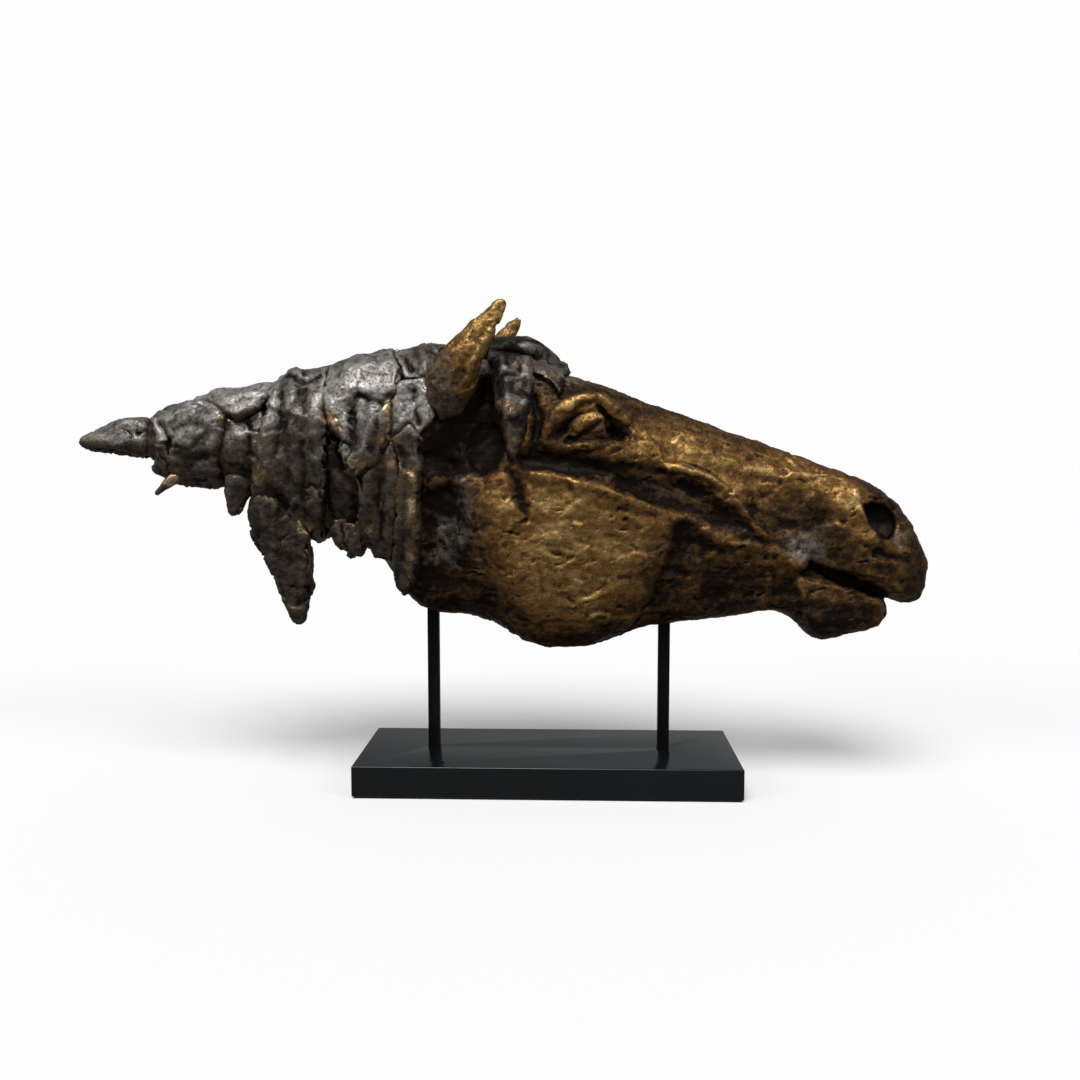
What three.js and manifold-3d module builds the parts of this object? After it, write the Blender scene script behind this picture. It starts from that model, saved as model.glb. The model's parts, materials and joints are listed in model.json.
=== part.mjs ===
// A bronze horse head with a blown-back mane, standing on two square posts over a black plinth.
// Millimetres, +Z up, +X towards the muzzle, -Y the horse's right side. The origin is the middle of
// the felt's underside, on the table. The head lifts straight up off its two posts.
import * as THREE from "three";
import { mergeVertices } from "three/addons/utils/BufferGeometryUtils.js";
import Module from "manifold-3d";

const wasm = await Module();
wasm.setup();

// Stand
const plinthLength = 400;
const plinthDepth = 150;
const plinthHeight = 32;
const plinthChamfer = 0.8;
const feltThickness = 2;
const feltInset = 2;
const postSide = 12;
const postSpacing = 248;
const postRecess = 8;
const postClearance = 0.2;
const jawClearance = 113; // lowest point of the jaw above the plinth

// Post fixings
const boltRadius = 4;
const boltThreadGap = 0.3;
const boltGrip = 20; // thread inside the post
const boltHeadAcross = 13;
const boltHeadHeight = 5.3;
const washerRadius = 9;
const washerThickness = 1.6;
const counterboreRadius = 11;
const counterboreDepth = 9;

// Castings
const sculptureLength = 900;
const castingWall = 5;
const weldGap = 0.3;
const socketWall = 2.5;
const socketClearance = 0.3;
const socketDepth = 56;
const seamX = -150; // weld between the head and neck castings
const neckEnd = -425; // weld between the neck casting and the tail lock
const cavityFront = 240;
const cavityEnd = -405;

// The profiles below are drawn for a head of this length and scaled to sculptureLength.
const drawnLength = 900;
const scale = sculptureLength / drawnLength;

const plinthTop = feltThickness + plinthHeight;
const jawHeight = plinthTop + jawClearance;
const ringPoints = 20;
const plateLap = 3; // how far a plate's outline runs on under its neighbours, before they cut it back
const station = 15; // spacing of the form's sections along its length
const sectionPower = 2.4; // 2 is an ellipse, more is squarer

const bronzeGold = new THREE.MeshStandardMaterial({ color: 0x7a5a28, roughness: 0.45, metalness: 0.8 });
const bronzeDark = new THREE.MeshStandardMaterial({ color: 0x35302c, roughness: 0.5, metalness: 0.8 });
const blackPaint = new THREE.MeshStandardMaterial({ color: 0x16181a, roughness: 0.4, metalness: 0 });
const blackSteel = new THREE.MeshStandardMaterial({ color: 0x0e0f10, roughness: 0.45, metalness: 0.6 });
const zincSteel = new THREE.MeshStandardMaterial({ color: 0xa8abb0, roughness: 0.35, metalness: 1 });
const blackFelt = new THREE.MeshStandardMaterial({ color: 0x121212, roughness: 1, metalness: 0 });

// ---- solids and meshes ----

function solidOf(geometry) {
  const bare = geometry.clone();
  bare.deleteAttribute("normal");
  bare.deleteAttribute("uv");
  const merged = mergeVertices(bare, 1e-3);
  return new wasm.Manifold(
    new wasm.Mesh({
      numProp: 3,
      vertProperties: merged.attributes.position.array,
      triVerts: new Uint32Array(merged.index.array),
    }),
  );
}

function geometryOf(solid) {
  const mesh = solid.getMesh();
  const geometry = new THREE.BufferGeometry();
  geometry.setAttribute("position", new THREE.BufferAttribute(mesh.vertProperties, 3));
  geometry.setIndex(new THREE.BufferAttribute(mesh.triVerts, 1));
  geometry.computeVertexNormals();
  return geometry;
}

// A cut can leave slivers beside a piece, so only its main body is kept.
function mainBody(solid) {
  return solid.decompose().reduce((a, b) => (b.volume() > a.volume() ? b : a));
}

function addMesh(group, name, solid, material) {
  const mesh = new THREE.Mesh(geometryOf(mainBody(solid)), material);
  mesh.name = name;
  group.add(mesh);
  return mesh;
}

function box(width, depth, height, x, y, z) {
  return solidOf(new THREE.BoxGeometry(width, depth, height).translate(x, y, z));
}

// An upright cylinder or prism that stands on z.
function cylinder(radius, height, x, y, z, sides = 24) {
  const shape = new THREE.CylinderGeometry(radius, radius, height, sides);
  return solidOf(shape.rotateX(Math.PI / 2).translate(x, y, z + height / 2));
}

function ellipsoid(x, y, z, rx, ry, rz) {
  const shape = new THREE.SphereGeometry(1, 14, 9);
  return solidOf(shape.scale(rx * scale, ry * scale, rz * scale).translate(x * scale, y * scale, z * scale));
}

// A closed skin over rings that each hold the same number of points.
function loft(rings) {
  const around = rings[0].length;
  const points = rings.flat();
  const faces = [];
  for (let r = 0; r + 1 < rings.length; r++)
    for (let i = 0; i < around; i++) {
      const a = r * around + i;
      const b = r * around + ((i + 1) % around);
      faces.push(a, b, a + around, b, b + around, a + around);
    }
  const cap = (ring, first, outward) => {
    const middle = new THREE.Vector3();
    ring.forEach((p) => middle.addScaledVector(p, 1 / around));
    points.push(middle);
    for (let i = 0; i < around; i++) {
      const edge = [first + i, first + ((i + 1) % around)];
      faces.push(points.length - 1, ...(outward ? edge : edge.reverse()));
    }
  };
  cap(rings[0], 0, false);
  cap(rings.at(-1), (rings.length - 1) * around, true);
  const geometry = new THREE.BufferGeometry().setFromPoints(points);
  geometry.setIndex(faces);
  return solidOf(geometry);
}

function superellipse(angle, power) {
  const round = (v) => Math.sign(v) * Math.abs(v) ** (2 / power);
  return [round(Math.cos(angle)), round(Math.sin(angle))];
}

// ---- the sculpture's main form ----

// x, top, bottom, half width and height of the widest point. Heights start at the jaw's lowest point.
const form = [
  [-430, 240, 196, 21, 217],
  [-400, 246, 186, 27, 216],
  [-365, 254, 182, 34, 214],
  [-330, 262, 182, 40, 214],
  [-292, 267, 150, 45, 206],
  [-250, 279, 126, 49, 200],
  [-210, 290, 114, 52, 198],
  [-175, 300, 92, 54, 196],
  [-150, 307, 55, 56, 190],
  [-124, 312, 37, 57, 180],
  [-75, 310, 32, 61, 160],
  [-50, 306, 22, 65, 152],
  [-29, 301, 7, 67, 150],
  [0, 293, 0, 68, 150],
  [30, 285, 0, 68, 150],
  [60, 275, 7, 64, 146],
  [90, 264, 18, 58, 142],
  [120, 253, 24, 52, 138],
  [150, 243, 27, 48, 134],
  [185, 230, 32, 44, 130],
  [221, 218, 37, 42, 126],
  [248, 208, 39, 41, 124],
  [266, 202, 86, 41, 128],
  [300, 189, 76, 43, 122],
  [333, 176, 64, 46, 118],
  [350, 165, 57, 44, 112],
  [367, 149, 50, 40, 104],
  [380, 130, 47, 34, 92],
  [388, 110, 49, 28, 84],
  [395, 101, 68, 19, 86],
  [399, 95, 86, 7, 90],
];

const chinForm = [
  [222, 78, 44, 22, 60],
  [245, 84, 38, 34, 60],
  [262, 90, 28, 38, 56],
  [278, 89, 13, 39, 50],
  [292, 85, 8, 38, 45],
  [310, 79, 13, 36, 43],
  [330, 71, 17, 32, 41],
  [346, 62, 20, 26, 39],
  [354, 54, 27, 18, 38],
  [359, 47, 32, 9, 38],
];

// Reads a form at any x, with a smooth curve through its rows that never overshoots them.
function formAt(rows, x) {
  const last = rows.length - 2;
  const found = rows.findIndex((row, i) => i <= last && x <= rows[i + 1][0]);
  const i = found < 0 ? last : found;
  const span = rows[i + 1][0] - rows[i][0];
  const t = THREE.MathUtils.clamp((x - rows[i][0]) / span, 0, 1);
  const slope = (k, column) => {
    if (k < 1 || k > last) return 0;
    const before = (rows[k][column] - rows[k - 1][column]) / (rows[k][0] - rows[k - 1][0]);
    const after = (rows[k + 1][column] - rows[k][column]) / (rows[k + 1][0] - rows[k][0]);
    return before * after <= 0 ? 0 : (2 * before * after) / (before + after);
  };
  const value = (column) => {
    const [a, b] = [rows[i][column], rows[i + 1][column]];
    const [sa, sb] = [slope(i, column) * span, slope(i + 1, column) * span];
    return (
      a * (1 + 2 * t) * (1 - t) ** 2 + sa * t * (1 - t) ** 2 + b * t * t * (3 - 2 * t) + sb * t * t * (t - 1)
    );
  };
  return { top: value(1), bottom: value(2), half: value(3), widest: value(4) };
}

// One upright section of a form across the length, grown outwards by offset.
function formRing(rows, x, offset) {
  const at = formAt(rows, x);
  const ring = [];
  for (let i = 0; i < ringPoints; i++) {
    const [across, up] = superellipse((i / ringPoints) * 2 * Math.PI, sectionPower);
    const reach = up > 0 ? at.top - at.widest : at.widest - at.bottom;
    ring.push(
      new THREE.Vector3(
        x * scale,
        across * Math.max(at.half * scale + offset, 1),
        at.widest * scale + up * Math.max(reach * scale + offset, 1),
      ),
    );
  }
  return ring;
}

// Every solid of a form has its sections at the same stations, so that grown copies stay parallel.
function formSolid(rows, from, to, offset = 0, step = station) {
  const stations = [from];
  for (let k = Math.ceil((from + 1) / step); k * step < to - 1; k++) stations.push(k * step);
  stations.push(to);
  return loft(stations.map((x) => formRing(rows, x, offset)));
}

// A tapering lock, ear or tongue along a spine. Each row is x, y, z, half width and half thickness.
// The width lies along side, the thickness across it.
function spike(rows, side, around = 8) {
  const spine = new THREE.CatmullRomCurve3(
    rows.map(([x, y, z]) => new THREE.Vector3(x, y, z).multiplyScalar(scale)),
    false,
    "centripetal",
  );
  const steps = (rows.length - 1) * 2;
  const rings = [];
  for (let k = 0; k <= steps; k++) {
    const t = k / steps;
    const i = Math.min(rows.length - 2, Math.floor(t * (rows.length - 1)));
    const f = t * (rows.length - 1) - i;
    const width = THREE.MathUtils.lerp(rows[i][3], rows[i + 1][3], f) * scale;
    const thickness = THREE.MathUtils.lerp(rows[i][4], rows[i + 1][4], f) * scale;
    const along = spine.getTangent(t);
    const wide = new THREE.Vector3(...side).addScaledVector(along, -along.dot(new THREE.Vector3(...side)));
    wide.normalize();
    const thick = along.clone().cross(wide);
    const centre = spine.getPoint(t);
    const ring = [];
    for (let j = 0; j < around; j++) {
      const angle = (j / around) * 2 * Math.PI;
      ring.push(
        centre
          .clone()
          .addScaledVector(wide, Math.cos(angle) * width)
          .addScaledVector(thick, Math.sin(angle) * thickness),
      );
    }
    rings.push(ring);
  }
  return loft(rings);
}

// ---- mane plates ----

// Moves each corner of an outline outwards, so that a neighbour can be cut back by a gap.
function grownOutline(outline, gap) {
  const points = outline.map(([x, z]) => new THREE.Vector2(x, z));
  const turn = THREE.ShapeUtils.area(points) > 0 ? 1 : -1;
  return points.map((p, i) => {
    const before = p.clone().sub(points.at(i - 1)).normalize();
    const after = points[(i + 1) % points.length].clone().sub(p).normalize();
    const out = new THREE.Vector2(before.y + after.y, -before.x - after.x).multiplyScalar(turn);
    const mitre = out.length() / 2;
    return p.add(out.normalize().multiplyScalar(gap / Math.max(mitre, 0.5)));
  });
}

// An outline in the XZ plane, drawn out sideways from the head's middle plane, or inset from it.
function sidePrism(outline, side, gap = 0, inset = 0) {
  const reach = 150 * scale;
  const corners = grownOutline(
    outline.map(([x, z]) => [x * scale, z * scale]),
    gap,
  );
  const geometry = new THREE.ExtrudeGeometry(new THREE.Shape(corners), { depth: reach, bevelEnabled: false });
  geometry.rotateX(Math.PI / 2);
  const parting = weldGap / 2 - gap + inset * scale;
  geometry.translate(0, side < 0 ? -parting : reach + parting, 0);
  return solidOf(geometry);
}

// name, thickness, outline corners as x and height. Nearer plates come first and cut the later ones.
const plates = [
  [
    "strip",
    14,
    [
      [-151, 221],
      [-138, 231],
      [-128, 219],
      [-130, 179],
      [-131, 128],
      [-135, 97],
      [-140, 75],
      [-148, 64],
      [-156, 81],
      [-154, 113],
      [-148, 148],
      [-146, 189],
    ],
  ],
  [
    "knot",
    13,
    [
      [-146, 277],
      [-126, 279],
      [-120, 259],
      [-114, 241],
      [-129, 227],
      [-141, 233],
      [-153, 223],
      [-155, 257],
    ],
  ],
  [
    "crest",
    9,
    [
      [-165, 325],
      [-108, 330],
      [-117, 299],
      [-125, 281],
      [-141, 282],
      [-151, 298],
    ],
  ],
  [
    "middle",
    13,
    [
      [-224, 320],
      [-168, 325],
      [-152, 297],
      [-150, 279],
      [-157, 259],
      [-156, 229],
      [-170, 201],
      [-185, 189],
      [-199, 191],
      [-207, 207],
      [-204, 219],
      [-218, 229],
      [-224, 249],
    ],
  ],
  [
    "lower",
    13,
    [
      [-184, 187],
      [-170, 199],
      [-155, 219],
      [-148, 189],
      [-152, 148],
      [-157, 112],
      [-165, 100],
      [-179, 100],
      [-189, 132],
      [-186, 158],
    ],
  ],
  [
    "broad",
    14,
    [
      [-280, 310],
      [-226, 320],
      [-224, 260],
      [-228, 219],
      [-227, 178],
      [-234, 146],
      [-242, 118],
      [-259, 112],
      [-271, 148],
      [-289, 153],
      [-301, 170],
      [-293, 197],
      [-292, 219],
      [-283, 250],
    ],
  ],
  [
    "gusset",
    5,
    [
      [-222, 227],
      [-206, 215],
      [-209, 204],
      [-199, 189],
      [-192, 172],
      [-190, 150],
      [-198, 112],
      [-222, 104],
      [-225, 178],
    ],
  ],
  [
    "flap",
    10,
    [
      [-374, 261],
      [-360, 280],
      [-284, 292],
      [-290, 264],
      [-303, 249],
      [-318, 241],
      [-332, 248],
      [-344, 258],
    ],
  ],
  [
    "notch",
    6,
    [
      [-331, 240],
      [-311, 241],
      [-297, 246],
      [-293, 229],
      [-298, 209],
      [-296, 189],
      [-305, 168],
      [-312, 140],
      [-327, 142],
      [-337, 158],
      [-338, 190],
    ],
  ],
  [
    "rear",
    11,
    [
      [-413, 239],
      [-395, 262],
      [-366, 266],
      [-345, 257],
      [-335, 240],
      [-339, 209],
      [-341, 176],
      [-358, 172],
      [-385, 170],
      [-409, 176],
      [-414, 188],
      [-404, 204],
      [-402, 226],
    ],
  ],
];

// The left side's plates are laid by hand too, so their outlines wander from the right side's.
function wander([x, z]) {
  return [x + 5 * Math.sin(z / 23), z + 4 * Math.sin(x / 31)];
}

const sides = [
  ["right", -1],
  ["left", 1],
];
const outlineOn = (side, drawn) => grownOutline(side < 0 ? drawn : drawn.map(wander), plateLap);
const maneCore = (offset) => formSolid(form, neckEnd - offset / scale, -60, offset);
const maneClearance = maneCore(weldGap);

function addManePlates(group) {
  for (const [sideName, side] of sides) {
    const placed = [];
    for (const [name, thickness, drawn] of plates) {
      const outline = outlineOn(side, drawn);
      let plate = sidePrism(outline, side).intersect(maneCore(thickness * scale)).subtract(maneClearance);
      for (const other of placed) plate = plate.subtract(other);
      addMesh(group, `mane_${sideName}_${name}`, plate, bronzeDark);
      placed.push(sidePrism(outline, side, weldGap));
    }
  }
}

// The room that one side's plates take, which is cut from whatever lies against them.
function plateRoom(side) {
  return plates
    .map(([, thickness, drawn]) =>
      sidePrism(outlineOn(side, drawn), side, weldGap).intersect(maneCore(thickness * scale + weldGap)),
    )
    .reduce((a, b) => a.add(b));
}
const plateRooms = { right: plateRoom(-1), left: plateRoom(1) };

// ---- pieces of the head ----

const mirrored = (rows) => rows.map(([x, y, ...rest]) => [x, -y, ...rest]);
const grownRows = (rows) => rows.map(([x, y, z, w, t]) => [x, y, z, w + weldGap / scale, t + weldGap / scale]);
const shifted = (rows, dx, dz) => rows.map(([x, y, z, ...rest]) => [x + dx, y, z + dz, ...rest]);

const earRows = [
  [-109, -44, 240, 12, 9],
  [-106, -50, 254, 22, 16],
  [-98, -56, 274, 26, 20],
  [-87, -60, 295, 24, 18],
  [-71, -61, 318, 17, 13],
  [-58, -61, 337, 11, 8],
  [-48, -61, 351, 7, 5],
  [-43, -61, 358, 3, 3],
];
const earHollowRows = [
  [-72, -50, 268, 4, 4],
  [-68, -53, 282, 10, 8],
  [-61, -56, 298, 10, 8],
  [-52, -57, 318, 7, 5],
  [-46, -58, 334, 3, 3],
];
const farEarShift = [9, -3];

const forelockCrownRows = [
  [-84, 0, 304, 14, 6],
  [-66, 0, 311, 23, 11],
  [-46, 0, 315, 27, 13],
  [-26, 0, 313, 27, 14],
  [-8, 0, 304, 24, 12],
  [6, 0, 292, 19, 8],
  [16, 0, 281, 9, 4],
];
const forelockSlabThickness = 9;
const forelockSlab = [
  [-62, 340],
  [-60, 300],
  [-48, 290],
  [-24, 290],
  [-6, 285],
  [5, 277],
  [12, 267],
  [18, 274],
  [22, 320],
];
const forelockLockRows = [
  [-36, -38, 302, 20, 7],
  [-34, -50, 280, 21, 8],
  [-33, -60, 252, 17, 8],
  [-33, -66, 224, 11, 6],
  [-35, -68, 200, 3, 3],
];
const tailRows = [
  [-418, 0, 219, 20, 18],
  [-434, -4, 220, 22, 18],
  [-450, -5, 221, 20, 16],
  [-474, -5, 218, 14, 11],
  [-490, -4, 217, 8, 6],
  [-500, -3, 216, 3, 3],
];
const hangingRows = [
  [-280, -40, 172, 22, 11],
  [-281, -41, 150, 30, 14],
  [-277, -42, 130, 33, 15],
  [-268, -42, 98, 24, 14],
  [-262, -40, 70, 18, 12],
  [-262, -38, 46, 12, 9],
  [-260, -37, 30, 4, 4],
];
const spurRows = [
  [-384, -24, 187, 6, 6],
  [-395, -27, 178, 5, 5],
  [-404, -28, 170, 3, 3],
  [-412, -28, 163, 1.5, 1.5],
];
const notchRows = [
  [-320, -34, 180, 15, 8],
  [-322, -37, 166, 13, 8],
  [-324, -38, 154, 8, 6],
  [-325, -38, 143, 2, 2],
];
const danglingRows = [
  [-208, -38, 150, 14, 8],
  [-208, -39, 132, 17, 10],
  [-204, -40, 118, 18, 10],
  [-200, -40, 106, 13, 8],
  [-202, -40, 97, 5, 4],
];

// x, y, z, half width and half thickness of the ridges and grooves on the right side of the face.
const browRows = [
  [-4, -60, 222, 5, 5],
  [10, -63, 240, 8, 8],
  [32, -64, 256, 9, 9],
  [54, -60, 257, 9, 8],
  [74, -56, 244, 6, 6],
  [84, -54, 232, 3, 3],
];
const lowerLidRows = [
  [14, -60, 216, 3, 3],
  [34, -63, 210, 6, 6],
  [58, -60, 212, 6, 6],
  [82, -54, 222, 3, 3],
];
const crestRows = [
  [112, -48, 192, 3, 3],
  [134, -48, 188, 6, 6],
  [160, -46, 178, 7, 7],
  [182, -43, 158, 6, 6],
  [204, -41, 134, 5, 5],
  [226, -40, 117, 3, 3],
];
const cheekOutline = [
  [132, 139],
  [100, 153],
  [72, 167],
  [13, 189],
  [-32, 192],
  [-68, 181],
  [-72, 140],
  [-60, 96],
  [-46, 42],
  [-28, 14],
  [4, 3],
  [44, 5],
  [84, 25],
  [106, 56],
  [120, 88],
];
const mouthOutline = [
  [284, 84],
  [296, 83],
  [350, 61],
  [366, 56],
  [366, 50],
  [348, 54],
  [296, 78],
];
const cheekRelief = 5;
const eye = [42, 53, 232];
const nostril = [339, 46, 138];

function headOutside() {
  let head = formSolid(form, seamX, 399).add(formSolid(chinForm, 222, 358, 0, 12));
  const cheekForm = formSolid(form, -90, 144, cheekRelief * scale);
  for (const side of [-1, 1]) {
    const onSide = (rows) => (side < 0 ? rows : mirrored(rows));
    head = head.add(sidePrism(cheekOutline, side).intersect(cheekForm));
    for (const rows of [browRows, lowerLidRows, crestRows]) head = head.add(spike(onSide(rows), [0, 0, 1]));
    head = head.add(ellipsoid(eye[0], eye[1] * side, eye[2], 24, 15, 17));
    head = head.subtract(templeHollow(side, 0));
    head = head.subtract(ellipsoid(nostril[0], nostril[1] * side, nostril[2], 17, 14, 16));
    head = head.subtract(sidePrism(mouthOutline, side, 0, 22));
  }
  return head;
}

function templeHollow(side, offset) {
  const growth = offset / scale;
  return ellipsoid(-64, 82 * side, 218, 27 + growth, 30 + growth, 46 + growth);
}

function addEar(group, sideName, rows, hollowRows) {
  const ear = spike(rows, [1, 0, 0], 12)
    .subtract(spike(hollowRows, [1, 0, 0]))
    .subtract(skullClearance)
    .subtract(plateRooms[sideName]);
  addMesh(group, `ear_${sideName}`, ear, bronzeGold);
}

// The head form grown by the weld gap, which what stands on the skull is cut by.
const skullClearance = formSolid(form, -200, 100, weldGap)
  .subtract(templeHollow(-1, -weldGap))
  .subtract(templeHollow(1, -weldGap));

const postXs = { front: postSpacing / 2, rear: -postSpacing / 2 };
const socketOuter = postSide + 2 * (socketClearance + socketWall);
const socketBase = (x) => (formAt(form, x / scale).bottom + 3) * scale + castingWall;

function addSocket(group, end) {
  const height = socketDepth + socketWall;
  const base = socketBase(postXs[end]);
  const bore = postSide + 2 * socketClearance;
  const socket = box(socketOuter, socketOuter, height, postXs[end], 0, base + height / 2).subtract(
    box(bore, bore, socketDepth, postXs[end], 0, base + socketDepth / 2),
  );
  addMesh(group, `post_socket_${end}`, socket, blackSteel);
}

// The post's way in through the casting's underside, and the room that its socket takes inside.
function postCut(end) {
  const way = postSide + 2 * socketClearance;
  const room = socketOuter + 2 * weldGap;
  const base = socketBase(postXs[end]);
  const height = socketDepth + socketWall + 2 * weldGap;
  return box(way, way, 120, postXs[end], 0, base - 59).add(
    box(room, room, height, postXs[end], 0, base - weldGap + height / 2),
  );
}

function addCastings(group) {
  let cavity = formSolid(form, seamX - 1, cavityFront, -castingWall, 2 * station);
  for (const side of [-1, 1]) cavity = cavity.subtract(templeHollow(side, castingWall));
  const cuts = postCut("front").add(postCut("rear"));
  const head = headOutside().subtract(cavity).subtract(cuts);
  addMesh(group, "head_casting", head, bronzeGold);

  const neckFront = seamX - weldGap / scale;
  const neckCavity = formSolid(form, cavityEnd, neckFront + 1, -castingWall, 2 * station);
  const neck = formSolid(form, neckEnd, neckFront).subtract(neckCavity).subtract(cuts);
  addMesh(group, "neck_casting", neck, bronzeDark);
}

function addLocks(group) {
  const clear = (rows, side, ...rooms) =>
    rooms.reduce((lock, room) => lock.subtract(plateRooms[room]), spike(rows, side)).subtract(maneClearance);
  const wide = [1, 0, 0];
  const upright = [0, 0, 1];
  const locks = {
    right: { hanging: hangingRows, dangling: danglingRows, notch: notchRows },
    left: {
      hanging: shifted(mirrored(hangingRows), -24, 14),
      dangling: shifted(mirrored(danglingRows), -4, 6),
      notch: shifted(mirrored(notchRows), -16, 5),
    },
  };
  for (const [sideName, { hanging, dangling, notch }] of Object.entries(locks)) {
    const beside = spike(grownRows(notch), wide);
    addMesh(group, `mane_hanging_lock_${sideName}`, clear(hanging, wide, sideName).subtract(beside), bronzeDark);
    addMesh(group, `mane_dangling_lock_${sideName}`, clear(dangling, wide, sideName), bronzeDark);
    addMesh(group, `mane_notch_lock_${sideName}`, clear(notch, wide, sideName), bronzeDark);
  }
  addMesh(group, "mane_spur_lock", clear(spurRows, upright, "right"), bronzeDark);
  addMesh(group, "mane_tail_lock", clear(tailRows, upright, "right", "left"), bronzeDark);
}

// A slab that lies over the skull, with a ridge along its top.
function forelockCrown(gap) {
  const slab = formSolid(form, -90, 40, forelockSlabThickness * scale + gap);
  const ridge = gap ? grownRows(forelockCrownRows) : forelockCrownRows;
  return [-1, 1]
    .map((side) => slab.intersect(sidePrism(forelockSlab, side, gap, -1)))
    .reduce((a, b) => a.add(b), spike(ridge, [0, 1, 0], 12));
}

function addForelock(group) {
  const ears = [earRows, shifted(mirrored(earRows), ...farEarShift)].map((rows) =>
    spike(grownRows(rows), [1, 0, 0], 12),
  );
  const crown = ears.reduce((left, ear) => left.subtract(ear), forelockCrown(0).subtract(skullClearance));
  addMesh(group, "forelock_crown", crown, bronzeDark);
  const crownRoom = forelockCrown(weldGap);
  const lock = (rows) => spike(rows, [1, 0, 0]).subtract(skullClearance).subtract(crownRoom);
  addMesh(group, "forelock_right", lock(forelockLockRows), bronzeDark);
  addMesh(group, "forelock_left", lock(shifted(mirrored(forelockLockRows), 6, 8)), bronzeDark);
}

function makeHead() {
  const group = new THREE.Group();
  group.position.z = jawHeight;
  addCastings(group);
  addSocket(group, "front");
  addSocket(group, "rear");
  addEar(group, "right", earRows, earHollowRows);
  addEar(
    group,
    "left",
    shifted(mirrored(earRows), ...farEarShift),
    shifted(mirrored(earHollowRows), ...farEarShift),
  );
  addForelock(group);
  addManePlates(group);
  addLocks(group);
  return group;
}

// ---- stand ----

function makePlinth() {
  const half = { x: plinthLength / 2 - plinthChamfer, y: plinthDepth / 2 - plinthChamfer };
  const outline = new THREE.Shape([
    new THREE.Vector2(-half.x, -half.y),
    new THREE.Vector2(half.x, -half.y),
    new THREE.Vector2(half.x, half.y),
    new THREE.Vector2(-half.x, half.y),
  ]);
  const block = new THREE.ExtrudeGeometry(outline, {
    depth: plinthHeight - 2 * plinthChamfer,
    bevelSize: plinthChamfer,
    bevelThickness: plinthChamfer,
    bevelSegments: 1,
  });
  let plinth = solidOf(block.translate(0, 0, feltThickness + plinthChamfer));
  const recess = postSide + 2 * postClearance;
  for (const x of Object.values(postXs)) {
    plinth = plinth
      .subtract(box(recess, recess, 2 * postRecess, x, 0, plinthTop))
      .subtract(cylinder(boltRadius + boltThreadGap, plinthHeight, x, 0, feltThickness))
      .subtract(cylinder(counterboreRadius, 2 * counterboreDepth, x, 0, feltThickness - counterboreDepth));
  }
  return plinth;
}

function addPost(group, end) {
  const x = postXs[end];
  const bottom = plinthTop - postRecess;
  const top = jawHeight + socketBase(x) + socketDepth - weldGap;
  const height = top - bottom;
  const tapped = boltGrip + 5;
  const post = box(postSide, postSide, height, x, 0, bottom + height / 2).subtract(
    cylinder(boltRadius + boltThreadGap, 2 * tapped, x, 0, bottom - tapped, 24),
  );
  addMesh(group, `post_${end}`, post, blackSteel);

  const washerTop = feltThickness + counterboreDepth;
  const washerBottom = washerTop - washerThickness;
  const washer = cylinder(washerRadius, washerThickness, x, 0, washerBottom).subtract(
    cylinder(boltRadius + boltThreadGap, 3 * washerThickness, x, 0, washerBottom - washerThickness),
  );
  addMesh(group, `post_washer_${end}`, washer, zincSteel);

  const headRadius = boltHeadAcross / 2 / Math.cos(Math.PI / 6);
  const shankHeight = bottom + boltGrip - washerBottom + 1;
  const bolt = cylinder(headRadius, boltHeadHeight, x, 0, washerBottom - boltHeadHeight, 6).add(
    cylinder(boltRadius, shankHeight, x, 0, washerBottom - 1, 24),
  );
  addMesh(group, `post_bolt_${end}`, bolt, zincSteel);
}

function makeStand() {
  const group = new THREE.Group();
  addMesh(group, "plinth", makePlinth(), blackPaint);
  const felt = box(
    plinthLength - 2 * feltInset,
    plinthDepth - 2 * feltInset,
    feltThickness,
    0,
    0,
    feltThickness / 2,
  );
  addMesh(group, "felt_pad", felt, blackFelt);
  addPost(group, "front");
  addPost(group, "rear");
  return group;
}

const statue = new THREE.Group();
statue.add(makeStand(), makeHead());

export default statue;
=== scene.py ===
"""Bronze horse head with a blown-back mane, on two square posts over a black plinth.

Each casting, ear, lock and plate of mane starts from its CAD solid, remeshed and worked like
clay: large hollows and ridges first, then pressed pads, knife facets and torn edges. The
patina is read back off the worked surface, so that high points are rubbed to gold.
Sculpted sizes are in millimetres from the jaw's lowest point: x along the head, z up.
"""

import json
import math

import bmesh
import bpy
import numpy as np
from mathutils import Matrix, Vector

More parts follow.
